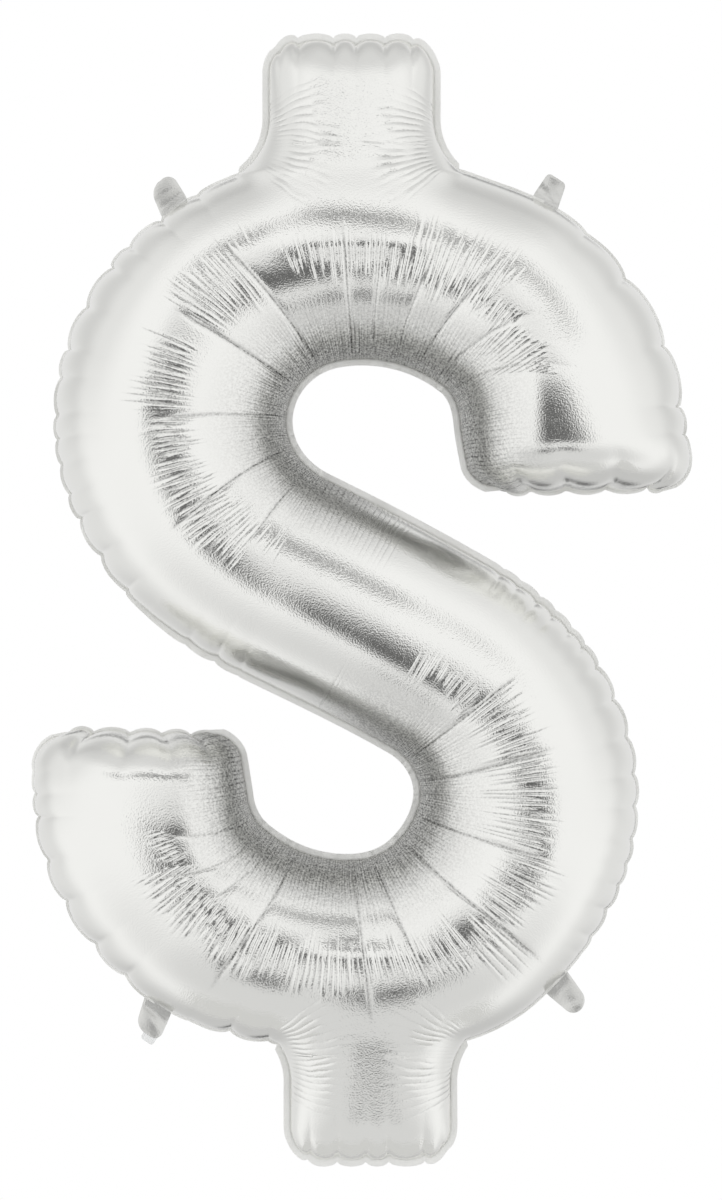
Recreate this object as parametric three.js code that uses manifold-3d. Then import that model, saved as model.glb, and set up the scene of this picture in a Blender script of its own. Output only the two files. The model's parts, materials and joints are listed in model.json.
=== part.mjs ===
// A foil balloon in the shape of a dollar sign, filled and floating upright.
// Two foil halves are welded together round a flat rim, and four small flaps fold at the rim:
// three hang tabs and the inflation tail with its valve film.
// Millimetres, +Z up, the front faces -Y, the origin is the middle of the whole outline.

import * as THREE from 'three';
import { mergeVertices } from 'three/addons/utils/BufferGeometryUtils.js';
import Module from 'manifold-3d';

const wasm = await Module();
wasm.setup();

// Driving dimensions of the whole balloon
const HEIGHT = 1016;
const SKIN = 10;
const RIM = 6;
const RIM_THICKNESS = 2;
const SEAT_GAP = 0.3;

// The path along the middle of the S, from the upper right arm's end to the lower left arm's end.
// A row is one arc: its length, its turn in degrees to the left, and at its end the distances
// from the path to the rim's left and right edge.
const START = { x: 192, z: 94, heading: 91, left: 100, right: 108 };
const PATH = [
  { length: 72, turn: 5, left: 105, right: 103 },
  { length: 117, turn: 46, left: 100, right: 96 },
  { length: 66, turn: 18, left: 100, right: 89 },
  { length: 113, turn: 30, left: 100, right: 93 },
  { length: 199, turn: 76, left: 99, right: 116 },
  { length: 185, turn: 68, left: 104, right: 95 },
  { length: 162, turn: -4, left: 104, right: 92 },
  { length: 161, turn: -70, left: 114, right: 89 },
  { length: 100, turn: -37, left: 107, right: 90 },
  { length: 125, turn: -47, left: 83, right: 94 },
  { length: 131, turn: -37, left: 96, right: 95 },
  { length: 99, turn: -42, left: 102, right: 96 },
  { length: 72, turn: -9, left: 100, right: 92 },
];
const DIAGONAL_ROW = 6;
const ARM_CORNER = 28;

// The form of the filled section along the path: its height as a share of the width inside the rim,
// the place of its top as a share of that width from the left edge, and the power of its curve.
const SECTIONS = [
  { along: 0, height: 0.46, top: 0.42, power: 2.7 },
  { along: 60, height: 0.45, top: 0.42, power: 2.6 },
  { along: 110, height: 0.44, top: 0.46, power: 2.3 },
  { along: 200, height: 0.43, top: 0.485, power: 2.1 },
  { along: 320, height: 0.43, top: 0.485, power: 2.1 },
  { along: 400, height: 0.425, top: 0.5, power: 2.1 },
  { along: 450, height: 0.42, top: 0.55, power: 2.1 },
  { along: 500, height: 0.42, top: 0.575, power: 2.1 },
  { along: 570, height: 0.42, top: 0.56, power: 2.1 },
  { along: 630, height: 0.425, top: 0.54, power: 2.1 },
  { along: 700, height: 0.44, top: 0.56, power: 2.1 },
  { along: 780, height: 0.457, top: 0.57, power: 2.1 },
  { along: 860, height: 0.46, top: 0.58, power: 2.1 },
  { along: 930, height: 0.44, top: 0.59, power: 2.1 },
  { along: 980, height: 0.43, top: 0.54, power: 2.1 },
  { along: 1060, height: 0.42, top: 0.48, power: 2.1 },
  { along: 1120, height: 0.42, top: 0.44, power: 2.1 },
  { along: 1190, height: 0.42, top: 0.51, power: 2.1 },
  { along: 1285, height: 0.427, top: 0.54, power: 2.1 },
  { along: 1370, height: 0.43, top: 0.54, power: 2.1 },
  { along: 1450, height: 0.43, top: 0.56, power: 2.2 },
  { along: 1520, height: 0.44, top: 0.62, power: 2.5 },
  { along: 1602, height: 0.455, top: 0.62, power: 2.6 },
];

// An arm rises steeply from its end, then gently by the last share of its height
const END_RISE = 46;
const END_POWER = 2.4;
const END_SLOPE = 0.16;
const END_LONG = 130;

// An upright stroke leaves the S at its root and falls away in depth towards its end
const STUB_START = 262;
const STUB_FOOT = 305;
const LEAST_DEPTH = 3;
const STUB_POWER = 2.5;
const STUB_RISE = 40;
const STUB_SLOPE = 0.33;
const STUB_BEND = 17.5;
const STUB_CORNER = 30;
const STUB_EDGE_POINTS = 24;
const FADE = { from: 188, to: 250 };
const FLARE_RADIUS = 62;
const FLARE_TURN = Math.PI / 3;
const FLARE_TOP = 438;
// The two upright strokes: middle, half-width, direction, depth at the root and how far that is
// from the stroke's end
const STUBS = [
  { x: -8.5, halfWidth: 80, up: 1, depth: 79, root: 172 },
  { x: 8.5, halfWidth: 78, up: -1, depth: 73.5, root: 165 },
];

// The welded rim puckers where it runs round the outside of a bend or across an end.
// A pucker swells from 0 in its creases to 1, and SWELL_MEAN of that lies on the plain outline.
const PUCKER_PITCH = 25;
const PUCKER_DEPTH = 5;
const END_PUCKERS = 6;
const END_PUCKER_DEPTH = 7;
const STUB_PUCKERS = 6;
const POINTS_PER_PUCKER = 6;
const SWELL_MEAN = 0.7;
const PUCKER_FADE = 60;

// The flaps at the rim: where along the path, on which side of it, thickness, root and tip width,
// height from the root, the tip's lean in degrees, clockwise seen from the front, and the tip's corner radius
const FLAP_GAP = 0.35;
const LAND_DEPTH = 14;
const LAND_SPARE = 1;
const FLAPS = [
  { name: 'tab_upper_left', at: 444, side: -1, thick: 2, root: 28, tip: 24, high: 23, lean: 12, round: 10 },
  { name: 'tab_upper_right', at: 210, side: -1, thick: 2, root: 25, tip: 19, high: 22, lean: -6, round: 4 },
  { name: 'tab_lower_right', at: 1162, side: 1, thick: 2, root: 27, tip: 19, high: 30, lean: 5, round: 9 },
  { name: 'inflation_tail', at: 1408, side: 1, thick: 3.4, root: 28, tip: 25, high: 24, lean: -14, round: 9 },
];

// The valve film lies between the tail's two plies and stands out of its mouth
const FILM = { thick: 1, width: 13, start: 6, reach: 30, shift: -9, corner: 3 };

// Fineness of the solids. A first or last ring stands in by a share of a step, so that it has a width.
const ACROSS = 20;
const ALONG_STEP = 30;
const END_RINGS = 5;
const STUB_RINGS = 12;
const RING_SHORT = 0.3;

const COLOURS = {
  foil: { color: 0xdcdcd8, roughness: 0.22, metalness: 1 },
  rim: { color: 0xd2d2ce, roughness: 0.3, metalness: 1 },
  film: { color: 0xeef0f0, roughness: 0.35, metalness: 0 },
};

const lengthOf = (rows) => rows.reduce((sum, row) => sum + row.length, 0);
const PATH_LENGTH = lengthOf(PATH);
const radians = (degrees) => (degrees * Math.PI) / 180;
const mix = (a, b, share) => a + (b - a) * share;
const smooth = (share) => share * share * (3 - 2 * share);
const clamp01 = (value) => Math.min(1, Math.max(0, value));

// The point, heading and widths at a distance along the path
function station(along) {
  let { x, z, left, right } = START;
  let heading = radians(START.heading);
  let rest = Math.max(0, Math.min(along, PATH_LENGTH));
  for (const row of PATH) {
    const part = Math.min(rest, row.length);
    const share = part / row.length;
    const radius = row.length / radians(row.turn);
    const angle = radians(row.turn) * share;
    x += radius * (Math.sin(heading + angle) - Math.sin(heading));
    z += radius * (Math.cos(heading) - Math.cos(heading + angle));
    heading += angle;
    if (rest <= row.length) {
      const ease = smooth(share);
      return {
        x,
        z,
        heading,
        left: mix(left, row.left, ease),
        right: mix(right, row.right, ease),
      };
    }
    rest -= row.length;
    ({ left, right } = row);
  }
  return null;
}

// The filled section's form at a place along the path
function sectionAt(along) {
  const i = SECTIONS.findIndex((row) => row.along > along);
  const [a, b] = i > 0 ? [SECTIONS[i - 1], SECTIONS[i]] : SECTIONS.slice(-2);
  const share = (along - a.along) / (b.along - a.along);
  return {
    height: mix(a.height, b.height, share),
    top: mix(a.top, b.top, share),
    power: mix(a.power, b.power, share),
  };
}

// A point beside the path: out is positive to the left
function beside(at, out) {
  return new THREE.Vector2(at.x - Math.sin(at.heading) * out, at.z + Math.cos(at.heading) * out);
}

// How much a corner of the given radius takes off the width near an end
function cornerLoss(fromEnd, radius) {
  const reach = Math.max(0, radius - fromEnd);
  return radius - Math.sqrt(Math.max(0, radius * radius - reach * reach));
}

// The steep part of an end's rise, as a share of its height
function steepRise(fromEnd, reach) {
  const short = 1 - clamp01(fromEnd / reach);
  return (1 - short ** END_POWER) ** (1 / END_POWER);
}

// How an arm rises from its end, as a share of the full height
function endRise(fromEnd, inset) {
  const far = 1 - clamp01(fromEnd / (END_LONG + RIM - inset));
  return steepRise(fromEnd, END_RISE + RIM - inset) * (1 - END_SLOPE * far * far);
}

// A filled section's curve, as a share of its height, for a share of the way from its top to its edge
function arch(offTop, power) {
  return Math.max(0, 1 - Math.abs(offTop) ** power) ** (1 / power);
}

// A solid from vertices and triangles
function solid(vertices, triangles) {
  return new wasm.Manifold(
    new wasm.Mesh({
      numProp: 3,
      vertProperties: Float32Array.from(vertices),
      triVerts: Uint32Array.from(triangles),
    }),
  );
}

// A solid from a three.js geometry
function solidOf(geometry) {
  const plain = geometry.clone();
  plain.deleteAttribute('normal');
  plain.deleteAttribute('uv');
  const merged = mergeVertices(plain, 1e-4);
  return solid(merged.attributes.position.array, merged.index.array);
}

// A closed body through rings that all have the same number of points, with flat ends
function loft(rings) {
  const count = rings[0].length;
  const vertices = rings.flat().flatMap((p) => [p.x, p.y, p.z]);
  const triangles = [];
  for (let i = 0; i + 1 < rings.length; i++) {
    for (let j = 0; j < count; j++) {
      const a = i * count + j;
      const b = i * count + ((j + 1) % count);
      triangles.push(a, b, a + count, b, b + count, a + count);
    }
  }
  const last = (rings.length - 1) * count;
  for (let j = 1; j + 1 < count; j++) {
    triangles.push(0, j + 1, j, last, last + j, last + j + 1);
  }
  return solid(vertices, triangles);
}

// Distances along a length that close up towards both ends
function stops(length, step, endReach) {
  const list = [];
  for (let i = 0; i < END_RINGS; i++) {
    list.push(endReach * (1 - Math.cos((0.5 * Math.PI * (i + RING_SHORT)) / END_RINGS)));
  }
  const middle = length - 2 * endReach;
  const count = Math.round(middle / step);
  for (let i = 0; i <= count; i++) {
    list.push(endReach + (middle * i) / count);
  }
  for (let i = END_RINGS - 1; i >= 0; i--) {
    list.push(length - list[i]);
  }
  return list;
}

// The filled body of the S, pulled in all round by an inset
function sBody(inset) {
  const rings = [];
  for (const along of stops(PATH_LENGTH - 2 * inset, ALONG_STEP, END_RISE + RIM - inset)) {
    const at = station(along + inset);
    const fromEnd = Math.min(along, PATH_LENGTH - 2 * inset - along);
    const loss = cornerLoss(fromEnd, ARM_CORNER);
    const left = at.left - inset - loss;
    const right = at.right - inset - loss;
    const { height, top, power } = sectionAt(along + inset);
    const lift = height * (at.left + at.right - 2 * inset) * endRise(fromEnd, inset);
    const ring = [];
    for (let j = 0; j < ACROSS; j++) {
      const angle = (2 * Math.PI * j) / ACROSS;
      const fromLeft = 0.5 - 0.5 * Math.cos(angle);
      const offTop = (fromLeft - top) / (fromLeft < top ? top : 1 - top);
      const p = beside(at, mix(left, -right, fromLeft));
      const y = -Math.sign(Math.sin(angle)) * lift * arch(offTop, power);
      ring.push({ x: p.x, y: j % (ACROSS / 2) === 0 ? 0 : y, z: p.y });
    }
    rings.push(ring);
  }
  return loft(rings);
}

// The half-width of an upright stroke at a height above the middle
function stubHalfWidth(stub, height) {
  const drop = clamp01((FLARE_TOP - height) / (FLARE_RADIUS * Math.sin(FLARE_TURN)));
  const flare = FLARE_RADIUS * (1 - Math.cos(Math.asin(drop * Math.sin(FLARE_TURN))));
  return stub.halfWidth + flare - cornerLoss(HEIGHT / 2 - height, STUB_CORNER);
}

// How deep an upright stroke is at a distance from its end, before its steep rise
function stubDepth(stub, fromEnd) {
  const past = (fromEnd - stub.root) / STUB_BEND;
  const fade = smooth(clamp01((fromEnd - FADE.from) / (FADE.to - FADE.from)));
  return (stub.depth + STUB_SLOPE * STUB_BEND * (past - Math.log1p(Math.exp(past)))) * (1 - fade);
}

// The filled body of an upright stroke, pulled in by an inset
function stubBody(stub, inset) {
  const rings = [];
  for (let i = 0; i <= STUB_RINGS; i++) {
    const share = Math.sin((0.5 * Math.PI * i) / (STUB_RINGS + RING_SHORT));
    const height = mix(STUB_START, HEIGHT / 2 - inset, share);
    const half = stubHalfWidth(stub, height + inset) - inset;
    const rise = steepRise(HEIGHT / 2 - inset - height, STUB_RISE + RIM - inset);
    const depth = Math.max(stubDepth(stub, HEIGHT / 2 - RIM - height) + RIM - inset, LEAST_DEPTH) * rise;
    const ring = [];
    for (let j = 0; j < ACROSS; j++) {
      const angle = (2 * Math.PI * j) / ACROSS;
      const across = Math.cos(angle);
      const y = Math.sign(Math.sin(angle)) * depth * arch(across, STUB_POWER);
      ring.push({
        x: stub.x + half * across,
        y: j % (ACROSS / 2) === 0 ? 0 : stub.up * y,
        z: stub.up * height,
      });
    }
    rings.push(ring);
  }
  return loft(rings);
}

// How strongly the rim puckers at a place along the path, on the left (+1) or the right (-1)
function puckering(along, side) {
  const diagonalStart = lengthOf(PATH.slice(0, DIAGONAL_ROW));
  const diagonalEnd = diagonalStart + PATH[DIAGONAL_ROW].length;
  const outside = side < 0 ? diagonalStart - along : along - diagonalEnd;
  return clamp01(outside / PUCKER_FADE + 0.5);
}

// One pucker's outward swell, from 0 in its creases to 1
function swell(puckers) {
  return Math.sqrt(Math.abs(Math.sin(Math.PI * puckers)));
}

// The edge of the S on one side of the path, as points in the XZ plane
function sideEdge(side, inset, puckered) {
  const points = [];
  const step = puckered ? PUCKER_PITCH / POINTS_PER_PUCKER : PUCKER_PITCH;
  const length = PATH_LENGTH - 2 * inset;
  const count = Math.round(length / step);
  for (let i = 0; i <= count; i++) {
    const along = (length * i) / count;
    const at = station(along + inset);
    const fromEnd = Math.min(along, length - along);
    let half = (side > 0 ? at.left : at.right) - inset - cornerLoss(fromEnd, ARM_CORNER);
    const pucker = puckered ? puckering(along, side) : 0;
    half += pucker * PUCKER_DEPTH * (swell(along / PUCKER_PITCH) - SWELL_MEAN);
    if (pucker > 0 || i % POINTS_PER_PUCKER === 0 || fromEnd < ARM_CORNER) {
      points.push(beside(at, side * half));
    }
  }
  return points;
}

// Points across an arm's end, between its corners
function endEdge(along, inset, puckered) {
  const at = station(along);
  const outward = along > 0 ? 1 : -1;
  const left = at.left - inset - ARM_CORNER;
  const right = at.right - inset - ARM_CORNER;
  const points = [];
  const count = puckered ? END_PUCKERS * POINTS_PER_PUCKER : 1;
  for (let i = 1; i < count; i++) {
    const share = i / count;
    const p = beside(at, outward * mix(left, -right, share));
    const out = outward * (END_PUCKER_DEPTH * (swell(END_PUCKERS * share) - SWELL_MEAN) - inset);
    p.x += Math.cos(at.heading) * out;
    p.y += Math.sin(at.heading) * out;
    points.push(p);
  }
  return points;
}

// A flat plate with a closed outline in the XZ plane, its middle at y = 0
function plate(outline, thickness) {
  const flat = outline.map((p) => new THREE.Vector2(p.x, p.y));
  const geometry = new THREE.ExtrudeGeometry(new THREE.Shape(flat), {
    depth: thickness,
    bevelEnabled: false,
    curveSegments: 8,
  });
  geometry.translate(0, 0, -thickness / 2);
  geometry.rotateX(Math.PI / 2);
  return solidOf(geometry);
}

// The plate inside the S's outline
function sPlate(inset, thickness, puckered) {
  const right = sideEdge(-1, inset, puckered);
  const left = sideEdge(1, inset, puckered).reverse();
  const far = endEdge(PATH_LENGTH, inset, puckered).reverse();
  const near = endEdge(0, inset, puckered).reverse();
  return plate([...right, ...far, ...left, ...near], thickness);
}

// The plate inside an upright stroke's outline
function stubPlate(stub, inset, thickness, puckered) {
  const right = [];
  for (let i = 0; i <= STUB_EDGE_POINTS; i++) {
    const share = Math.sin((0.5 * Math.PI * i) / STUB_EDGE_POINTS);
    const height = mix(STUB_FOOT, HEIGHT / 2 - inset, share);
    right.push(new THREE.Vector2(stubHalfWidth(stub, height + inset) - inset, height));
  }
  const left = right.map((p) => new THREE.Vector2(-p.x, p.y)).reverse();
  const end = [];
  const count = puckered ? STUB_PUCKERS * POINTS_PER_PUCKER : 1;
  const half = stub.halfWidth - inset - STUB_CORNER;
  for (let i = 1; i < count; i++) {
    const rise = PUCKER_DEPTH * (swell((STUB_PUCKERS * i) / count) - 1);
    end.push(new THREE.Vector2(mix(half, -half, i / count), HEIGHT / 2 - inset + rise));
  }
  const outline = [...right, ...end, ...left];
  return plate(outline.map((p) => new THREE.Vector2(stub.x + p.x, stub.up * p.y)), thickness);
}

// Everything inside the outline at an inset: the filled body, or a flat plate
function wholeBody(inset) {
  return STUBS.reduce((body, stub) => body.add(stubBody(stub, inset)), sBody(inset));
}

function wholePlate(inset, thickness, puckered) {
  const start = sPlate(inset, thickness, puckered);
  return STUBS.reduce((body, stub) => body.add(stubPlate(stub, inset, thickness, puckered)), start);
}

// A foil half: the skin on the front (-1) or the back (+1) of the rim
function panel(side) {
  const seat = RIM_THICKNESS / 2 + SEAT_GAP;
  const block = new THREE.BoxGeometry(2 * HEIGHT, HEIGHT, 2 * HEIGHT);
  block.translate(0, side * (HEIGHT / 2 + seat), 0);
  const skin = wholeBody(RIM).subtract(wholeBody(RIM + SKIN));
  return skin.intersect(solidOf(block));
}

// The flat welded rim that carries both foil halves and the flaps
function seamRim() {
  const middle = wholePlate(RIM + SKIN, RIM_THICKNESS * 2, false);
  return withLands(wholePlate(0, RIM_THICKNESS, true)).subtract(middle);
}

// Where a flap's hinge line runs, and the angle that turns +Z to its outward direction
function flapPlace(flap) {
  const at = station(flap.at);
  const reach = flap.side > 0 ? at.left : at.right;
  const root = beside(at, flap.side * (reach + flap.thick / 2 + FLAP_GAP));
  const angle = Math.atan2(-flap.side * Math.sin(at.heading), flap.side * Math.cos(at.heading));
  return { root, angle };
}

// A block beside the hinge line of a flap, between two distances along its outward direction
function flapBlock(flap, from, to, width, thickness) {
  const { root, angle } = flapPlace(flap);
  const block = new THREE.BoxGeometry(width, thickness, to - from);
  block.translate(0, 0, (from + to) / 2);
  block.rotateY(angle);
  block.translate(root.x, 0, root.y);
  return solidOf(block);
}

// The rim has a straight land at each flap, so that the hinge line has an even gap
function withLands(rim) {
  let made = rim;
  for (const flap of FLAPS) {
    const edge = -(flap.thick / 2 + FLAP_GAP);
    const width = flap.root + 2 * LAND_SPARE;
    made = made.add(flapBlock(flap, edge - LAND_DEPTH, edge, width, RIM_THICKNESS));
    made = made.subtract(flapBlock(flap, edge, flap.high, width, RIM_THICKNESS * 2));
  }
  return made;
}

// A flat outline standing along +Z from the origin, narrower and rounded at its tip
function tongue(start, length, root, tip, shift, corner) {
  const outline = new THREE.Shape();
  outline.moveTo(-root / 2, start);
  outline.lineTo(root / 2, start);
  outline.lineTo(shift + tip / 2, length - corner);
  outline.absarc(shift + tip / 2 - corner, length - corner, corner, 0, Math.PI / 2);
  outline.absarc(shift - tip / 2 + corner, length - corner, corner, Math.PI / 2, Math.PI);
  outline.closePath();
  return outline.getPoints(5);
}

// A flap standing along +Z, its round root turning about the X axis
function standingFlap(flap) {
  const bead = flap.thick / 2;
  const shift = Math.tan(radians(flap.lean)) * flap.high;
  const face = plate(tongue(-bead, flap.high, flap.root, flap.tip, shift, flap.round), flap.thick * 2);
  const profile = new THREE.Shape();
  profile.moveTo(bead, 0);
  profile.lineTo(bead, flap.high + 1);
  profile.lineTo(-bead, flap.high + 1);
  profile.absarc(0, 0, bead, Math.PI, 2 * Math.PI);
  const span = 3 * flap.root;
  const strip = new THREE.ExtrudeGeometry(profile, { depth: span, bevelEnabled: false, curveSegments: 6 });
  strip.translate(0, 0, -span / 2);
  strip.rotateX(Math.PI / 2);
  strip.rotateZ(Math.PI / 2);
  return face.intersect(solidOf(strip));
}

// The valve film's plate, grown all round by a clearance
function filmPlate(clearance) {
  const { thick, width, start, reach, shift, corner } = FILM;
  const wide = width + 2 * clearance;
  const outline = tongue(start - clearance, reach + clearance, wide, wide, shift, corner);
  return plate(outline, thick + 2 * clearance);
}

// A named mesh from a solid
function mesh(name, body, look) {
  const { vertProperties, triVerts } = body.getMesh();
  const geometry = new THREE.BufferGeometry();
  geometry.setAttribute('position', new THREE.BufferAttribute(vertProperties, 3));
  geometry.setIndex(new THREE.BufferAttribute(triVerts, 1));
  geometry.computeVertexNormals();
  const made = new THREE.Mesh(geometry, new THREE.MeshStandardMaterial(look));
  made.name = name;
  return made;
}

const group = new THREE.Group();
group.add(mesh('front_panel', panel(-1), COLOURS.foil));
group.add(mesh('back_panel', panel(1), COLOURS.foil));
group.add(mesh('seam_rim', seamRim(), COLOURS.rim));
for (const flap of FLAPS) {
  const { root, angle } = flapPlace(flap);
  const hinged = new THREE.Group();
  hinged.position.set(root.x, 0, root.y);
  hinged.rotation.y = angle;
  const isTail = flap.name === 'inflation_tail';
  const body = standingFlap(flap);
  hinged.add(mesh(flap.name, isTail ? body.subtract(filmPlate(SEAT_GAP)) : body, COLOURS.foil));
  if (isTail) {
    hinged.add(mesh('valve_film', filmPlate(0), COLOURS.film));
  }
  group.add(hinged);
}

export default group;
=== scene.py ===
# The looks of a filled silver foil balloon in the shape of a dollar sign.
# Lengths are in millimetres until a mesh is made. A place on the S is given by its distance along
# the path, from the upper right arm's end, and its distance beside the path, left positive.

import json

import bpy
import numpy as np
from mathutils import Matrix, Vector


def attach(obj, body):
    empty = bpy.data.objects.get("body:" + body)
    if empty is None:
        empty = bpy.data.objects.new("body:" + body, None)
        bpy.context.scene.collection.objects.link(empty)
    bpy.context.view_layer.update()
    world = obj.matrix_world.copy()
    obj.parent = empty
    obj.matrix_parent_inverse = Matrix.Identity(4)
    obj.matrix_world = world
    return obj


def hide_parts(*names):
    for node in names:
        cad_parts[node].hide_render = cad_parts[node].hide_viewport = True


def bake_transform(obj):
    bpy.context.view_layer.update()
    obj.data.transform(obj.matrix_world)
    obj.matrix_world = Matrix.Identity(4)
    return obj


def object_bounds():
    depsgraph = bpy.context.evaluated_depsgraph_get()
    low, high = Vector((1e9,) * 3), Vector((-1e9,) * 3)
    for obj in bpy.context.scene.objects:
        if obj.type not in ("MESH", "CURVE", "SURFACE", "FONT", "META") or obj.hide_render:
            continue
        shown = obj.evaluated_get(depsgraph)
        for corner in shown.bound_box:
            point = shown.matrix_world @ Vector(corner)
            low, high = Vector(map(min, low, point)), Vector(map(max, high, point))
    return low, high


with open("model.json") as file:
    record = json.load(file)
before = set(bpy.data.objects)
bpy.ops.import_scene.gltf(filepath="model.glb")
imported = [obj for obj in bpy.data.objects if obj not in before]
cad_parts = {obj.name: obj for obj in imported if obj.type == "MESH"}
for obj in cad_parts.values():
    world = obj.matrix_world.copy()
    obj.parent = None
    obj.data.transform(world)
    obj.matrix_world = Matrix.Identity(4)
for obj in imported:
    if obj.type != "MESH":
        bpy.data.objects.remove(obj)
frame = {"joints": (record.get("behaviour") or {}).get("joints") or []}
cad_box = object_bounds()

MM = 0.001

# Driving dimensions, as in the solids
HEIGHT = 1016.0
RIM = 6.0
# The rim is narrower outside the bends: on the right up to the first place, on the left from the
# last one, and across the arms' ends
RIM_OUTSIDE = 2.5
OUTSIDE_ENDS = (720.0, 945.0)
OUTSIDE_FADE = 60.0
ARM_CORNER = 28.0
START = {"x": 192.0, "z": 94.0, "heading": 91.0, "left": 100.0, "right": 108.0}
PATH = [
    # length, turn in degrees to the left, and the widths to the left and right at the row's end
    (72, 5, 105, 103),
    (117, 46, 100, 96),
    (66, 18, 100, 89),
    (113, 30, 100, 93),
    (199, 76, 99, 116),
    (185, 68, 104, 95),
    (162, -4, 104, 92),
    (161, -70, 114, 89),
    (100, -37, 107, 90),
    (125, -47, 83, 94),
    (131, -37, 96, 95),
    (99, -42, 102, 96),
    (72, -9, 100, 92),
]
PATH_LENGTH = float(sum(row[0] for row in PATH))
# The bends' inner edge is the left one up to here, then the right one
MIDDLE = 833.0
STUB_CORNER = 30.0
FLARE_RADIUS = 62.0
FLARE_TURN = np.pi / 3
FLARE_TOP = 438.0
STUBS = [
    # middle, half-width, direction, depth at its root, distance of the root from its end
    (-8.5, 80.0, 1, 79.0, 172.0),
    (8.5, 78.0, -1, 73.5, 165.0),
]

# The form of the filled section along the path: its height as a share of the width inside the rim,
# the place of its top as a share of that width from the left edge, and the power of its curve
SECTIONS = [
    # along, height, top, power
    (0, 0.46, 0.39, 2.5),
    (40, 0.45, 0.39, 2.4),
    (80, 0.44, 0.39, 2.1),
    (110, 0.44, 0.41, 2.1),
    (200, 0.43, 0.455, 2.1),
    (320, 0.43, 0.48, 2.1),
    (400, 0.425, 0.50, 2.1),
    (450, 0.42, 0.55, 2.1),
    (500, 0.42, 0.575, 2.1),
    (570, 0.42, 0.56, 2.1),
    (630, 0.425, 0.54, 2.1),
    (700, 0.44, 0.56, 2.1),
    (780, 0.457, 0.57, 2.1),
    (860, 0.46, 0.58, 2.1),
    (930, 0.44, 0.59, 2.1),
    (980, 0.43, 0.54, 2.1),
    (1060, 0.42, 0.48, 2.1),
    (1120, 0.42, 0.44, 2.1),
    (1190, 0.42, 0.51, 2.1),
    (1285, 0.427, 0.54, 2.1),
    (1370, 0.43, 0.54, 2.1),
    (1450, 0.43, 0.56, 2.2),
    (1520, 0.44, 0.62, 2.5),
    (1602, 0.455, 0.62, 2.6),
]
# The table's values are evened out: steps along the path, and how many of them to either side
SECTION_STEPS = 400
SECTION_EVEN = 7
# How sharp the valley is where an upright stroke meets the S
JOIN_POWER = 12.0

# An arm's end rises steeply within END_RISE, then on with a gentle slope, first and last end
END_RISE = 46.0
END_POWER = 2.4
END_SLOPES = (0.16, 0.22)
END_LONGS = (130.0, 190.0)

# An upright stroke rises steeply within STUB_RISE, then by STUB_SLOPE up to its root, where it
# bends level within STUB_BEND, and fades into the S between two distances from its end. Its
# sides start at the S's edge, at most ROOT_SEARCH below FLARE_TOP.
STUB_POWER = 2.5
STUB_RISE = 40.0
STUB_SLOPE = 0.33
STUB_BEND = 17.5
STUB_FADE = (188.0, 250.0)
ROOT_SEARCH = 110.0
ROOT_POWER = 3

# Fineness of the foil's mesh: the step along the path in the wrinkled bends and elsewhere, and the
# rows across, of whose spacing EVEN_ROWS is even and the rest crowds at both edges
FINE_STEP = 1.1
PLAIN_STEP = 2.6
WRINKLED = [(60.0, 770.0), (885.0, 1540.0)]
WRINKLED_FADE = 30.0
PLACES_TRIED = 4000
ROWS_ACROSS = 57
EVEN_ROWS = 0.3
STUB_ROWS = 44

# Creases run from a bend's inner edge outwards and lean along the path. A row gives the lean in
# millimetres along the path for each millimetre outwards. They pass their own place LEAN_MIDDLE
# from the inner edge, and past it the lean dies out over LEAN_END.
LEAN_MIDDLE = 85.0
LEAN_END = 40.0
LEANS = [
    # along, lean
    (35, 0.0),
    (110, -0.62),
    (185, -0.40),
    (228, -0.23),
    (270, -0.15),
    (315, -0.03),
    (345, 0.0),
    (425, 0.14),
    (492, 0.03),
    (573, 0.10),
    (650, 0.23),
    (705, 0.18),
    (760, 0.0),
    (940, 0.0),
    (1024, -0.07),
    (1099, -0.04),
    (1157, 0.0),
    (1225, 0.0),
    (1269, 0.02),
    (1374, 0.16),
    (1450, 0.48),
    (1500, 0.62),
    (1568, 0.0),
]

# Long creases of the bends' inner half: the place along the path, how far out they reach, depth
CREASES = [
    (118, 80, 0.35),
    (170, 95, 0.35),
    (221, 115, 0.60),
    (268, 110, 0.40),
    (314, 100, 0.40),
    (346, 120, 0.55),
    (430, 130, 0.65),
    (493, 125, 0.60),
    (576, 115, 0.55),
    (656, 130, 0.60),
    (713, 90, 0.45),
    (963, 125, 0.60),
    (1021, 125, 0.60),
    (1098, 125, 0.60),
    (1157, 165, 0.65),
    (1225, 120, 0.50),
    (1269, 140, 0.50),
    (1379, 140, 0.65),
    (1432, 80, 0.35),
    (1468, 90, 0.40),
    (1512, 75, 0.35),
]
CREASE_WIDTH = 1.7
CREASE_DEPTH = 1.7
# How much painted shade darkens the line of a crease
CREASE_SHADE = 0.85
CREASE_START = 14.0
CREASE_FADE = 30.0

# Between long creases the foil bulges: over what stretch, how high above which share of the
# swell, from what gap on in full, up to what gap at all, and how far out, as a share of the
# stroke's width
BULGE_SPAN = (60.0, 1560.0)
BULGE_SHOWN = (90.0, 1540.0)
BULGE_FADE = 40.0
BULGE_HEIGHT = 0.75
BULGE_LEVEL = 0.8
BULGE_FULL = 60.0
BULGE_WIDEST = 130.0
BULGE_START = 22.0
BULGE_REACH = 0.62

# The middle of the diagonal has no creases at all
STRAIGHT = (825.0, 930.0)
STRAIGHT_FADE = 30.0

# Short wrinkles beside the bends' inner seam: their span along the path, pitch, reach and depth
SHORT_FROM = 60.0
SHORT_SPAN = 1500.0
SHORT_PITCH = 5.5
SHORT_REACH = 50.0
SHORT_DEPTH = 0.9
SHORT_START = 4.0

# Forms of a swell between two valleys: powers of a half sine
BULGE_SWELL = 0.7
PLEAT_SWELL = 0.8
PUCKER_SWELL = 0.55

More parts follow.
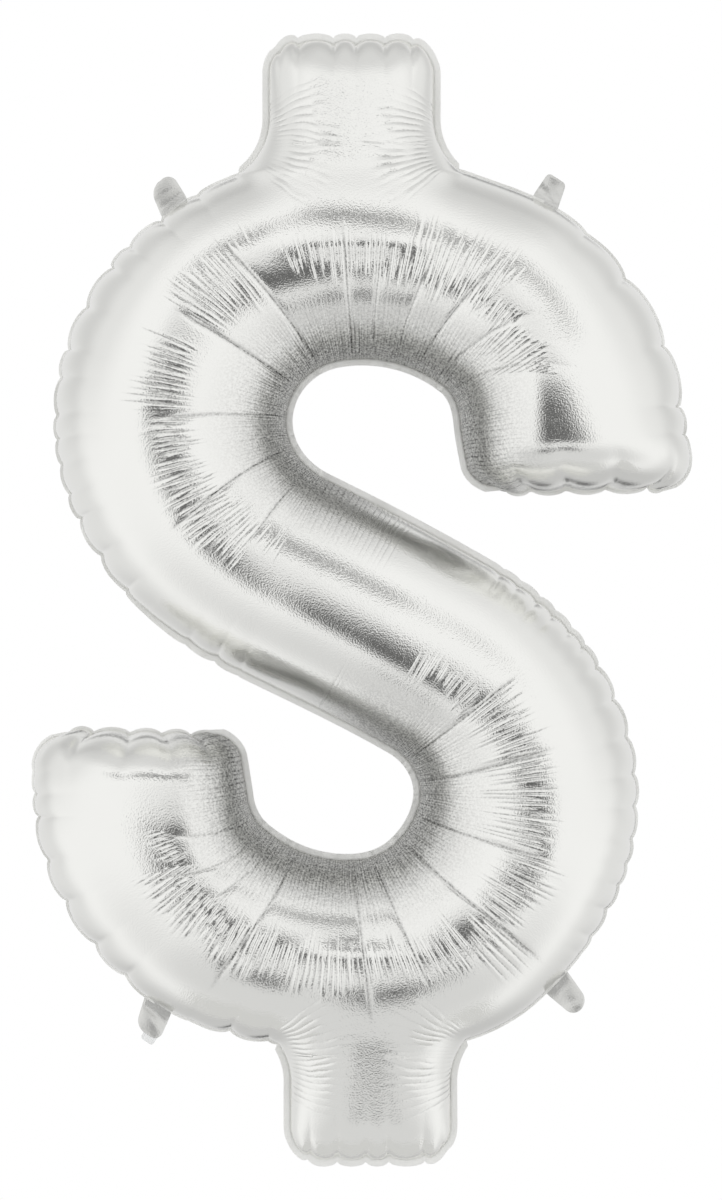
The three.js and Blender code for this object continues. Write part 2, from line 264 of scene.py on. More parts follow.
# Ranges of the random draws, as shares of what they vary
VARY = {
    "pleat_pitch": (0.7, 1.3),
    "pleat_height": (0.45, 1.0),
    "short_pitch": (0.6, 1.5),
    "short_height": (0.2, 1.0),
    "short_reach": (0.4, 1.3),
    "pucker_pitch": (0.6, 1.4),
}
# A gap wider than its pitch stands higher, up to this share
TALLEST = 1.2

# Bands of fine pleats across the crest: start, end, pitch, where they begin and end as shares of
# the stroke's width from its inner edge, and height
PLEATS = [
    (108, 168, 5.0, 0.17, 0.47, 0.26),
    (168, 198, 4.6, 0.30, 0.52, 0.20),
    (203, 288, 4.7, 0.33, 0.69, 0.24),
    (288, 362, 3.8, 0.34, 0.58, 0.17),
    (362, 398, 5.0, 0.38, 0.56, 0.10),
    (396, 436, 3.0, 0.63, 0.72, 0.10),
    (436, 494, 5.0, 0.36, 0.72, 0.24),
    (512, 568, 4.3, 0.40, 0.66, 0.17),
    (578, 656, 5.2, 0.36, 0.60, 0.22),
    (658, 717, 5.0, 0.32, 0.60, 0.24),
    (717, 748, 5.4, 0.30, 0.45, 0.12),
    (892, 962, 5.4, 0.33, 0.52, 0.22),
    (962, 1021, 4.6, 0.32, 0.62, 0.26),
    (1021, 1097, 5.2, 0.28, 0.62, 0.22),
    (1097, 1156, 3.9, 0.40, 0.70, 0.17),
    (1156, 1182, 4.2, 0.45, 0.82, 0.22),
    (1182, 1264, 4.6, 0.36, 0.63, 0.22),
    (1264, 1376, 4.5, 0.36, 0.67, 0.20),
    (1376, 1472, 5.0, 0.33, 0.63, 0.24),
    (1472, 1515, 5.5, 0.32, 0.46, 0.22),
]
PLEAT_DEPTH = 1.5
PLEAT_RAGGED = 9.0
PLEAT_START = 16.0
PLEAT_FADE = 14.0
# Fine teeth beside the inner seam: their strength, how far out it stays, and over what it fades
INNER_TEETH = (0.6, 15.0, 45.0)

# Puckers round the outside of the bends: start, end and pitch along the path, on the outer side
PUCKERS = [
    (20, 200, 36.0),
    (405, 700, 19.0),
    (700, 770, 16.0),
    (900, 1160, 15.0),
    (1310, 1400, 22.0),
    (1400, 1585, 26.0),
]
PUCKER_SEED = 11
# Their pull, its reach from the edge, how deep they sink the foil, over what a row of them fades,
# the gap that pulls in full, and the power of the pull's fade
PUCKER_DEPTH = 5.0
PUCKER_REACH = 15.0
PUCKER_SINK = 0.7
PUCKER_FADE = 45.0
PUCKER_FULL = 22.0
PUCKER_POWER = 1.3
# More draws than a stretch needs, so that narrow ones fill it too
PUCKER_SPARE = 1.4

# Valleys of the puckers across the arms' ends, from the left edge, and across the strokes' ends,
# from the stroke's middle
START_VALLEYS = (6.0, 36.0, 80.0, 128.0, 178.0, 200.0)
END_VALLEYS = (6.0, 36.0, 82.0, 122.0, 158.0, 200.0)
STUB_VALLEYS = (-80.0, -65.0, -48.0, -16.0, 4.0, 30.0, 54.0, 72.0, 82.0)
END_PUCKER_DEPTH = 5.5
END_PUCKER_REACH = 26.0
END_PUCKER_SINK = 0.9
STUB_PUCKER_REACH = 20.0
STUB_PUCKER_SINK = 1.2
STUB_SINK_REACH = 24.0

# Wrinkles fan out from both sides of an upright stroke, from a point at this height and distance
# from its middle: how far from it they start and end, between which angles, their pitch, how they
# curl, and over what they fade
FAN_HEIGHT = 403.0
FAN_OUT = 108.0
FAN_FROM = 34.0
FAN_REACH = 106.0
FAN_LOW = np.radians(-44)
FAN_HIGH = np.radians(58)
FAN_PITCH = np.radians(5.5)
FAN_CURL = 0.0045
FAN_START = 10.0
FAN_FADE = 50.0
FAN_SIDE_FADE = 0.1
# A count that keeps the waves of the two sides apart
FAN_APART = 20
# Their depth in metres, how far they wander, how much painted shade darkens their valleys, and the
# noises per metre that bend them and make them higher here and lower there: from, to, lowest,
# highest
FAN_DEPTH = 0.0008
FAN_SHIFT = 4.0
FAN_SHADE = 0.22
FAN_BEND_SCALE = 30.0
FAN_TALL_SCALE = 38.0
FAN_TALL = (0.34, 0.68, 0.08, 1.0)

# Beside the inner seam of a bend the foil's colour is darkened by painted shade, and it is rougher:
# how much darker, and within what reach, for the narrow band at the seam and the wide one
SEAM_SHADE = [
    # darker by, plain up to, faded out at
    (0.34, 2.0, 46.0),
    (0.08, 40.0, 80.0),
]
# The foil grows rougher with its painted shade, by this much for each share of colour lost
CRINKLED_ROUGH = 0.9
LEFT_INNER_END = (740.0, 850.0)
RIGHT_INNER_START = (800.0, 910.0)

# Fine teeth in the pleated bands: their pitch and depth in metres, how far they wander, how much
# painted shade darkens their valleys, and how often they change along the path and across, per
# metre, in phase and in height
TOOTH_PITCH = 0.0046
TOOTH_DEPTH = 0.00072
TOOTH_SHIFT = 5.0
TOOTH_SHADE = 0.4
SHIFT_SCALE = (95.0, 7.0, 1.0)
TALL_SCALE = (190.0, 22.0, 1.0)
# The valleys of teeth and fans are narrow: the power of their painted shade
VALLEY_POWER = 3.0
# The upright strokes' foil lies this far along in the teeth's map, clear of the S
STUB_MAP_START = 3000.0

# Stipple that breaks the painted shade into grains, with its noise from, to, least and most; the
# grain of all foil; and its faint clouds, from, to and how dark. Scales per metre, the grain's
# depth in metres.
STIPPLE_SCALE = 520.0
STIPPLE = (0.3, 0.7, 0.4, 1.6)
GRAIN_SCALE = 700.0
GRAIN_DEPTH = 0.00055
CLOUD_SCALE = 9.0
CLOUDS = (0.3, 0.7, 0.985)

# The foils: colour, roughness and the grain's strength
FOIL = ((0.88, 0.88, 0.855), 0.08, 0.28)
# The rim's foil is lighter than the balloon's: painted light
RIM_FOIL = ((0.93, 0.93, 0.91), 0.6, 0.5)
# The tabs' foil is darker than the balloon's: painted shade
TAB_FOIL = ((0.70, 0.70, 0.68), 0.3, 0.3)

# The clear film, a little milky, with its ripples in metres, and the floor's paper
CLEAR_COLOUR = (0.93, 0.94, 0.94, 1)
CLEAR_ALPHA = 0.55
CLEAR_ROUGH = 0.3
CLEAR_SCALE = 260.0
CLEAR_DEPTH = 0.0008
PAPER_COLOUR = (0.88, 0.88, 0.87, 1)
PAPER_ROUGH = 0.9

# The seam lies this far before or behind the rim's middle plane
SEAM_HALF = 0.25
# The welded rim: its rows as shares of its width, half its thickness, how far it reaches in under
# the foil, how it waves, and over how many points its direction and its waves are evened
RIM_ROWS = (0.0, 0.3, 0.6, 0.94, 1.0)
RIM_HALF = 0.2
RIM_UNDER = 2.0
RIM_WAVE = 0.9
RIM_EVEN = 9
RIM_WAVE_EVEN = 6
RIM_SEED = 21

# The flaps: root and tip width, height, the tip's lean in degrees and its corner radius, as in the
# solids, then how far the tip curls forwards, how far the middle bows, and the place of a crease
FLAPS = [
    ("tab_upper_left", 28.0, 24.0, 23.0, 12.0, 10.0, 2.2, 1.4, 0.42),
    ("tab_upper_right", 25.0, 19.0, 22.0, -6.0, 4.0, -2.0, -1.8, 0.30),
    ("tab_lower_right", 27.0, 19.0, 30.0, 5.0, 9.0, 2.6, 1.8, 0.75),
    ("inflation_tail", 28.0, 25.0, 24.0, -14.0, 9.0, 2.0, 1.6, 0.35),
]
# The film's half-thickness, how far it reaches into the rim and bends to either side of its fold
FLAP_FILM = 0.25
FLAP_UNDER = 5.0
FLAP_COLUMNS = 28
FLAP_ROWS = 30
# The crease across a flap: its height, how steep and how slanted it is, and how soon it starts
FLAP_FOLD = 0.6
FOLD_STEEP = 9
FOLD_SLANT = 1.5
FOLD_START = 5
# The two plies meet at the edge: over what width, and by how much they thin there
FLAP_EDGE = 2.2
FLAP_THIN = 0.75

# The clear strip that stands out of the tail, in the same columns, and where it starts and lies
VALVE_FILM = ("inflation_tail", 13.0, 13.0, 30.0, 0.0, 3.0, 2.0, 0.8, 0.35)
VALVE_START = 6.0
VALVE_THICK = 0.15
VALVE_SHIFT = -9.0

# The camera stands level in front, and its long side takes in this height at the balloon
FIELD_HEIGHT = 1.0761
LENS = 100.0
SENSOR = 36.0
CLIP_END = 100.0

# The balloon floats, so the floor lies far below: near, far and half its width, in metres
FLOOR_BELOW = 2.2
FLOOR_REACH = (-0.7, 0.7, 1.2)

# Dark gaps between the studio's white panels: oval patches, in degrees beside and above the
# level forward direction. soft is the share of the radius over which an edge fades, both ways.
GAPS = [
    {"at": (3, -7), "size": (12, 11), "soft": 0.55, "dark": 0.86},
    {"at": (-10, 35), "size": (9, 4.5), "soft": 0.7, "dark": 0.6},
    {"at": (14, 30), "size": (10, 5), "soft": 0.7, "dark": 0.65},
    {"at": (0, 32), "size": (8, 4), "soft": 0.7, "dark": 0.7},
    {"at": (-80, 42), "size": (36, 40), "soft": 0.5, "dark": 0.14},
    {"at": (80, 42), "size": (30, 40), "soft": 0.5, "dark": 0.12},
    {"at": (0, 80), "size": (100, 26), "soft": 0.45, "dark": 0.24},
    {"at": (0, 8), "size": (9, 11), "soft": 0.6, "dark": 0.15},
    {"at": (1, -36.3), "size": (9, 6.2), "soft": 0.5, "dark": 0.8},
    {"at": (0, -62), "size": (60, 38), "soft": 0.45, "dark": 0.26},
]
# Behind the balloon the studio is less bright: the share of its light that is left, and where it
# fades, by the direction's backward part
BEHIND = {"from": -0.25, "to": 0.25, "left": 0.83}


def clamp01(value):
    return np.clip(value, 0.0, 1.0)


def smooth(share):
    share = clamp01(share)
    return share * share * (3 - 2 * share)


def within(places, start, end, fade):
    """1 between two places and 0 outside, with soft steps on the inside."""
    return smooth((places - start) / fade) * smooth((end - places) / fade)


def stations(along):
    """The x, z, headings, left and right widths at distances along the path."""
    along = np.asarray(along, float)
    x, z = np.zeros_like(along), np.zeros_like(along)
    heading, left, right = np.zeros_like(along), np.zeros_like(along), np.zeros_like(along)
    at_x, at_z, at_heading = START["x"], START["z"], np.radians(START["heading"])
    at_left, at_right, begin = START["left"], START["right"], 0.0
    for length, turn, next_left, next_right in PATH:
        angle = np.radians(turn)
        radius = length / angle
        here = along >= begin
        share = np.minimum(1.0, (along[here] - begin) / length)
        turned = at_heading + angle * share
        x[here] = at_x + radius * (np.sin(turned) - np.sin(at_heading))
        z[here] = at_z + radius * (np.cos(at_heading) - np.cos(turned))
        heading[here] = turned
        left[here] = at_left + (next_left - at_left) * smooth(share)
        right[here] = at_right + (next_right - at_right) * smooth(share)
        at_x += radius * (np.sin(at_heading + angle) - np.sin(at_heading))
        at_z += radius * (np.cos(at_heading) - np.cos(at_heading + angle))
        at_heading += angle
        at_left, at_right, begin = next_left, next_right, begin + length
    return x, z, heading, left, right


def corner_loss(from_end, radius):
    """How much a round corner takes off the width near an end."""
    reach = np.clip(radius - from_end, 0.0, radius)
    return radius - np.sqrt(radius * radius - reach * reach)


def steep_rise(from_end, rise):
    """The steep part of an end, as a share of its height."""
    near = 1 - clamp01(from_end / rise)
    return (1 - near**END_POWER) ** (1 / END_POWER)


def end_rise(from_end, first):
    """How the height rises from the first or last arm's end, as a share of the full height."""
    slope = np.where(first, *END_SLOPES)
    far = 1 - clamp01(from_end / np.where(first, *END_LONGS))
    return steep_rise(from_end, END_RISE) * (1 - slope * far * far)


def arch(off_crest, power):
    """A filled section, as a share of its height, for a share of the way to its edge."""
    return np.maximum(1 - np.abs(off_crest) ** power, 0) ** (1 / power)


def section_at(along):
    """The filled section's height, top and power at distances along the path, evened out."""
    table = np.linspace(0, PATH_LENGTH, SECTION_STEPS)
    window = np.hanning(2 * SECTION_EVEN + 1)
    columns = []
    for column in (1, 2, 3):
        rough = np.interp(table, [row[0] for row in SECTIONS], [row[column] for row in SECTIONS])
        padded = np.pad(rough, SECTION_EVEN, mode="edge")
        even = np.convolve(padded, window / window.sum(), mode="valid")
        columns.append(np.interp(along, table, even))
    return columns


def stroke_height(along, from_left, width):
    """The height of the S's filled stroke."""
    height, top, power = section_at(along)
    side = np.where(from_left < top, top, 1 - top)
    return height * width * arch((from_left - top) / side, power)


def stub_half_width(half_width, height):
    """The inner half-width of an upright stroke at a height above the balloon's middle."""
    drop = clamp01((FLARE_TOP - height - RIM) / (FLARE_RADIUS * np.sin(FLARE_TURN)))
    flare = FLARE_RADIUS * (1 - np.cos(np.arcsin(drop * np.sin(FLARE_TURN))))
    return half_width + flare - corner_loss(HEIGHT / 2 - height - RIM, STUB_CORNER) - RIM


def stub_depth(from_end, depth, root):
    """How deep an upright stroke is at a distance from its end, before its steep rise."""
    fade = smooth((from_end - STUB_FADE[0]) / (STUB_FADE[1] - STUB_FADE[0]))
    past = (from_end - root) / STUB_BEND
    return (depth + STUB_SLOPE * STUB_BEND * (past - np.logaddexp(0, past))) * (1 - fade)


def stub_height(x, z):
    """The height of the nearer upright stroke's own filled form."""
    made = np.zeros_like(x)
    for middle, half_width, up, depth, root in STUBS:
        height = up * z
        width = stub_half_width(half_width, np.minimum(height, HEIGHT / 2 - RIM))
        across = arch(np.clip((x - middle) / width, -1, 1), STUB_POWER)
        from_end = np.maximum(HEIGHT / 2 - RIM - height, 0)
        lift = stub_depth(from_end, depth, root) * steep_rise(from_end, STUB_RISE)
        made = np.maximum(made, lift * across)
    return made


def joined(a, b):
    """Two heights joined with a soft valley."""
    return (a**JOIN_POWER + b**JOIN_POWER) ** (1 / JOIN_POWER)


def rim_width(along, side):
    """How much of the welded rim shows beside the foil on the left (1) or the right (-1)."""
    first, last = OUTSIDE_ENDS
    past = along - last if side > 0 else first - along
    return RIM - (RIM - RIM_OUTSIDE) * smooth(past / OUTSIDE_FADE)


def column_places():
    """Distances along the path that lie close together in the wrinkled stretches."""
    fine = np.linspace(RIM_OUTSIDE, PATH_LENGTH - RIM_OUTSIDE, PLACES_TRIED)
    step = np.full_like(fine, PLAIN_STEP)
    for start, end in WRINKLED:
        step += (FINE_STEP - PLAIN_STEP) * within(fine, start, end, WRINKLED_FADE)
    count = np.concatenate([[0], np.cumsum(np.diff(fine) / step[1:])])
    return np.interp(np.linspace(0, count[-1], int(count[-1]) + 1), count, fine)


def foil_grid():
    """The S's grid of foil points: places, heights and the measures that the wrinkles go by."""
    columns = column_places()
    u = np.linspace(0, 1, ROWS_ACROSS)
    share = EVEN_ROWS * u + (1 - EVEN_ROWS) * (1 - np.cos(np.pi * u)) / 2
    inner_left = (columns < MIDDLE)[:, None]
    from_inner = np.where(inner_left, 1 - share, share)
    width = sum(stations(columns)[3:5])[:, None] - 2 * RIM
    reach = from_inner * width
    past = np.maximum(reach - LEAN_MIDDLE, 0)
    shift = np.where(past > 0, LEAN_END * np.tanh(past / LEAN_END), reach - LEAN_MIDDLE)
    lean = np.interp(columns, [row[0] for row in LEANS], [row[1] for row in LEANS])[:, None]
    along = np.clip(columns[:, None] + lean * shift, RIM_OUTSIDE, PATH_LENGTH - RIM_OUTSIDE)
    x, z, heading, left, right = stations(along)
    from_end = np.minimum(along, PATH_LENGTH - along) - RIM_OUTSIDE
    corner = corner_loss(from_end, ARM_CORNER)
    rim_right = rim_width(along, -1)
    rim_left = rim_width(along, 1)
    right_reach, left_reach = right - corner - rim_right, left - corner - rim_left
    beside = -right_reach + (left_reach + right_reach) * share
    height = stroke_height(along, 1 - share, left + right - 2 * RIM)
    height *= end_rise(from_end, along < MIDDLE)
    px = x - np.sin(heading) * beside
    pz = z + np.cos(heading) * beside
    return {
        "columns": columns,
        "share": share,
        "along": along,
        "heading": heading,
        "beside": beside,
        "reach": reach,
        "width": np.broadcast_to(width, along.shape),
        "from_end": from_end,
        "rim": np.where(share > 0.5, rim_left, rim_right),
        "x": px,
        "z": pz,
        "height": joined(height, stub_height(px, pz)),
    }


def stub_patch(grid, stub):
    """Foil points of an upright stroke beyond the S's edge: rows from that edge to the end."""
    middle, half_width, up = stub[:3]
    edge = 0 if up > 0 else ROWS_ACROSS - 1
    x, z = grid["x"][:, edge], grid["z"][:, edge] * up
    inside = (z > FLARE_TOP - ROOT_SEARCH) & (np.abs(x - middle) < stub_half_width(half_width, z))
    first, last = np.flatnonzero(inside)[[0, -1]]
    base = np.arange(first, last + 1)
    if x[first] > x[last]:
        base = base[::-1]
    bx, bz = x[base], z[base]
    corner = STUB_CORNER - RIM
    top = HEIGHT / 2 - RIM
    corner_x = half_width - STUB_CORNER + corner * np.sqrt(0.5)
    corner_z = top - corner * (1 - np.sqrt(0.5))
    rise = np.linspace(0, 1, STUB_ROWS + 1)
    a = np.concatenate([[0], np.cumsum(np.hypot(np.diff(bx), np.diff(bz)))])
    a /= a[-1]

    def side(sign, start_x, start_z):
        height = start_z + (corner_z - start_z) * rise
        out = middle + sign * stub_half_width(half_width, height)
        return out + (start_x - out[0]) * (1 - rise) ** ROOT_POWER, height

    left_x, left_z = side(-1, bx[0], bz[0])
    right_x, right_z = side(1, bx[-1], bz[-1])
    top_x = middle + corner_x * (2 * a - 1)
    over = np.maximum(np.abs(top_x - middle) - (half_width - STUB_CORNER), 0)
    top_z = top - corner + np.sqrt(corner**2 - over**2)
    b = rise[None, :]
    c = a[:, None]
    points = []
    for low, high, near, far in ((bx, top_x, left_x, right_x), (bz, top_z, left_z, right_z)):
        blended = low[:, None] * (1 - b) + high[:, None] * b
        blended = blended + near[None, :] * (1 - c) + far[None, :] * c
        corners = low[0] * (1 - c) * (1 - b) + low[-1] * c * (1 - b)
        corners = corners + high[0] * (1 - c) * b + high[-1] * c * b
        points.append(blended - corners)
    px, pz = points[0], points[1] * up
    return {"base": base, "edge": edge, "x": px, "z": pz, "height": stub_height(px, pz)}


def grid_quads(index):
    """Faces between neighbouring points of a grid of vertex numbers."""
    corners = [index[:-1, :-1], index[1:, :-1], index[1:, 1:], index[:-1, 1:]]
    return np.stack(corners, axis=-1).reshape(-1, 4)


def face_normals(points, quads):
    """Each quad's normal, as long as twice its area."""
    corner = points[quads]
    return np.cross(corner[:, 2] - corner[:, 0], corner[:, 3] - corner[:, 1])


def faced(points, quads, side):
    """A sheet's quads, turned to face out of the balloon on its side."""
    outwards = np.sum(face_normals(points, quads)[:, 1]) * side > 0
    return quads if outwards else quads[:, ::-1]


def vertex_normals(points, quads):
    """Area-weighted normals."""
    face = face_normals(points, quads)
    normals = np.zeros_like(points)
    for corner in range(4):
        np.add.at(normals, quads[:, corner], face)
    return normals / np.linalg.norm(normals, axis=1, keepdims=True)


def make_mesh(name, points, quads, material, looks=None):
    """A mesh object from points in millimetres and quads."""
    mesh = bpy.data.meshes.new(name)
    mesh.vertices.add(len(points))
    mesh.vertices.foreach_set("co", (points * MM).astype(np.float32).ravel())
    mesh.loops.add(len(quads) * 4)
    mesh.loops.foreach_set("vertex_index", quads.astype(np.int32).ravel())
    mesh.polygons.add(len(quads))
    mesh.polygons.foreach_set("loop_start", np.arange(0, len(quads) * 4, 4, dtype=np.int32))
    mesh.update(calc_edges=True)
    mesh.polygons.foreach_set("use_smooth", np.full(len(quads), True))
    if looks is not None:
        layer = mesh.uv_layers.new(name="foil")
        layer.data.foreach_set("uv", looks["uv"][quads.ravel()].astype(np.float32).ravel())
        for kind in ("shade", "pleats", "fan_count", "fan_strength"):
            layer = mesh.attributes.new(kind, "FLOAT", "POINT")
            layer.data.foreach_set("value", looks[kind].astype(np.float32))
    mesh.validate()
    mesh.materials.append(material)
    made = bpy.data.objects.new(name, mesh)
    bpy.context.scene.collection.objects.link(made)
    return made


def seam_shade(from_seam):
    """Painted shade beside a bend's inner seam: the share of the foil's colour left at a distance
    from it.
    """
    loss = 0
    for dark, near, far in SEAM_SHADE:
        loss = loss + dark * (1 - smooth((from_seam - near) / (far - near)))
    return 1 - loss


def foil_shade(grid):
    """Painted shade over the S: the share of the foil's colour left beside the bends' inner seams.
    """
    along = grid["along"]
    from_left = grid["width"] * (1 - grid["share"][None, :])
    start, end = LEFT_INNER_END
    left_inner = 1 - smooth((along - start) / (end - start))
    start, end = RIGHT_INNER_START
    right_inner = smooth((along - start) / (end - start))
    left = 1 - left_inner * (1 - seam_shade(from_left))
    right = 1 - right_inner * (1 - seam_shade(grid["width"] - from_left))
    return left * right


def swell_between(valleys, places, power=PUCKER_SWELL):
    """From 0 at the valleys to 1 between them, and the gap's number and width at each place."""
    gap = np.searchsorted(valleys, places, side="right") - 1
    gap = np.clip(gap, 0, len(valleys) - 2)
    width = valleys[gap + 1] - valleys[gap]
    share = clamp01((places - valleys[gap]) / width)
    return np.sin(np.pi * share) ** power, gap, width


def pleated(grid, seed):
    """How far the S's foil stands proud of its filled form, along its normal."""
    rng = np.random.RandomState(seed)
    columns = grid["columns"]
    reach, width = grid["reach"], grid["width"]
    proud = np.zeros_like(reach)
    cover = np.zeros_like(reach)
    lined = np.zeros_like(reach)
    creases = np.array([row[0] for row in CREASES], float)
    gaps = np.concatenate([BULGE_SPAN[:1], creases, BULGE_SPAN[1:]])
    swell, _, gap_width = swell_between(gaps, columns, BULGE_SWELL)
    bulge = np.minimum(gap_width, BULGE_FULL) / BULGE_FULL
    bulge *= (gap_width < BULGE_WIDEST) * within(columns, *BULGE_SHOWN, BULGE_FADE)
    straight = within(columns, *STRAIGHT, STRAIGHT_FADE)[:, None]
    inner = smooth(reach / BULGE_START) * smooth((BULGE_REACH * width - reach) / BULGE_FADE)
    proud += (BULGE_HEIGHT * bulge * (swell - BULGE_LEVEL))[:, None] * inner
    for place, far, depth in CREASES:
        cut = np.exp(-np.abs(columns - place) / CREASE_WIDTH)[:, None]
        shown = depth * cut * smooth(reach / CREASE_START) * smooth((far - reach) / CREASE_FADE)
        proud -= CREASE_DEPTH * shown
        lined = np.maximum(lined, shown * cut)
    for start, end, pitch, low, high, depth in PLEATS:
        steps = pitch * rng.uniform(*VARY["pleat_pitch"], int((end - start) / pitch) + 2)
        valleys = start + np.concatenate([[0], np.cumsum(steps)])
        valleys = valleys[valleys < end + pitch / 2]
        here = np.flatnonzero((columns > valleys[0]) & (columns < valleys[-1]))
        wave, gap, gap_width = swell_between(valleys, columns[here], PLEAT_SWELL)
        count = len(valleys)
        tall = rng.uniform(*VARY["pleat_height"], count)[gap]
        tall = tall * np.minimum(gap_width / pitch, TALLEST)
        near = low * width[here] + rng.uniform(-PLEAT_RAGGED, PLEAT_RAGGED, count)[gap][:, None]
        far = high * width[here] + rng.uniform(-PLEAT_RAGGED, PLEAT_RAGGED, count)[gap][:, None]
        band = smooth((reach[here] - near) / PLEAT_START) * smooth((far - reach[here]) / PLEAT_FADE)
        proud[here] += PLEAT_DEPTH * depth * tall[:, None] * wave[:, None] * band
        cover[here] = np.maximum(cover[here], band)
    steps = SHORT_PITCH * rng.uniform(*VARY["short_pitch"], int(SHORT_SPAN / SHORT_PITCH))
    valleys = SHORT_FROM + np.cumsum(steps)
    wave, gap, _ = swell_between(valleys, columns, PLEAT_SWELL)
    tall = rng.uniform(*VARY["short_height"], len(valleys))[gap]
    longest = (SHORT_REACH * rng.uniform(*VARY["short_reach"], len(valleys)))[gap][:, None]
    beside = smooth(reach / SHORT_START) * (1 - smooth(reach / longest)) * (1 - straight)
    proud += SHORT_DEPTH * (tall * (wave - 0.5))[:, None] * beside
    # Painted shade along the creases: the share of the colour left
    grid["lined"] = 1 - CREASE_SHADE * lined
    strength, stays, fades = INNER_TEETH
    seam_band = strength * (1 - smooth((reach - stays) / fades)) * (1 - straight)
    grid["band"] = np.maximum(cover, seam_band)
    return proud


def pucker_valleys(rng):
    """Places of the outer puckers' valleys along the path."""
    groups = []
    for start, end, pitch in PUCKERS:
        count = int(PUCKER_SPARE * (end - start) / pitch) + 2
        steps = pitch * rng.uniform(*VARY["pucker_pitch"], count)
        valleys = start + np.concatenate([[0], np.cumsum(steps)])
        valleys = valleys[valleys < end]
        groups.append(np.append(valleys, end))
    return groups


def edge_puckers(grid):
    """How far the seam's puckers pull the S's foil inwards and sink it, from the outer edge in."""
    rng = np.random.RandomState(PUCKER_SEED)
    along = grid["along"]
    from_outer = grid["width"] - grid["reach"]
    pull = np.zeros_like(along)
    sink = np.zeros_like(along)
    for valleys in pucker_valleys(rng):
        here = (along > valleys[0]) & (along < valleys[-1])
        wave, _, gap_width = swell_between(valleys, along[here])
        ends = within(along[here], valleys[0], valleys[-1], PUCKER_FADE)
        deep = np.minimum(gap_width / PUCKER_FULL, TALLEST) * (1 - wave)
        away = from_outer[here] / PUCKER_REACH
        pull[here] = PUCKER_DEPTH * deep * np.exp(-(away**PUCKER_POWER)) * ends
        sink[here] = PUCKER_SINK * deep * np.exp(-away) * ends
    return pull, sink


def end_puckers(grid):
    """How far the puckers of the arms' ends pull the foil in along the path, and sink it."""
    from_left = grid["share"][::-1][None, :] * grid["width"]
    pull = np.zeros_like(from_left)
    sink = np.zeros_like(from_left)
    first = grid["along"] < MIDDLE
    for valleys, here, sign in ((START_VALLEYS, first, 1), (END_VALLEYS, ~first, -1)):
        wave, _, _ = swell_between(np.array(valleys), from_left[here])
        away = grid["from_end"][here] / END_PUCKER_REACH
        pull[here] = sign * END_PUCKER_DEPTH * (1 - wave) * np.exp(-(away**PUCKER_POWER))
        sink[here] = END_PUCKER_SINK * (1 - wave) * np.exp(-away)
    return pull, sink


def fans(x, z):
    """Wrinkles that fan out over an upright stroke from its sides: their count and strength."""
    count, strength = np.zeros_like(x), np.zeros_like(x)
    for middle, _, up, _, _ in STUBS:
        dx = FAN_OUT - np.abs(x - middle)
        dz = up * z - FAN_HEIGHT
        radius = np.hypot(dx, dz)
        angle = np.arctan2(dz, dx) + FAN_CURL * (radius - FAN_FROM) * (dz > 0)
        here = smooth((radius - FAN_FROM) / FAN_START) * smooth((FAN_REACH - radius) / FAN_FADE)
        here *= within(angle, FAN_LOW, FAN_HIGH, FAN_SIDE_FADE)
        near = up * z > 0
        count[near] = (np.sign(x - middle) * (angle / FAN_PITCH + FAN_APART))[near]
        strength[near] = here[near]
    return count, strength


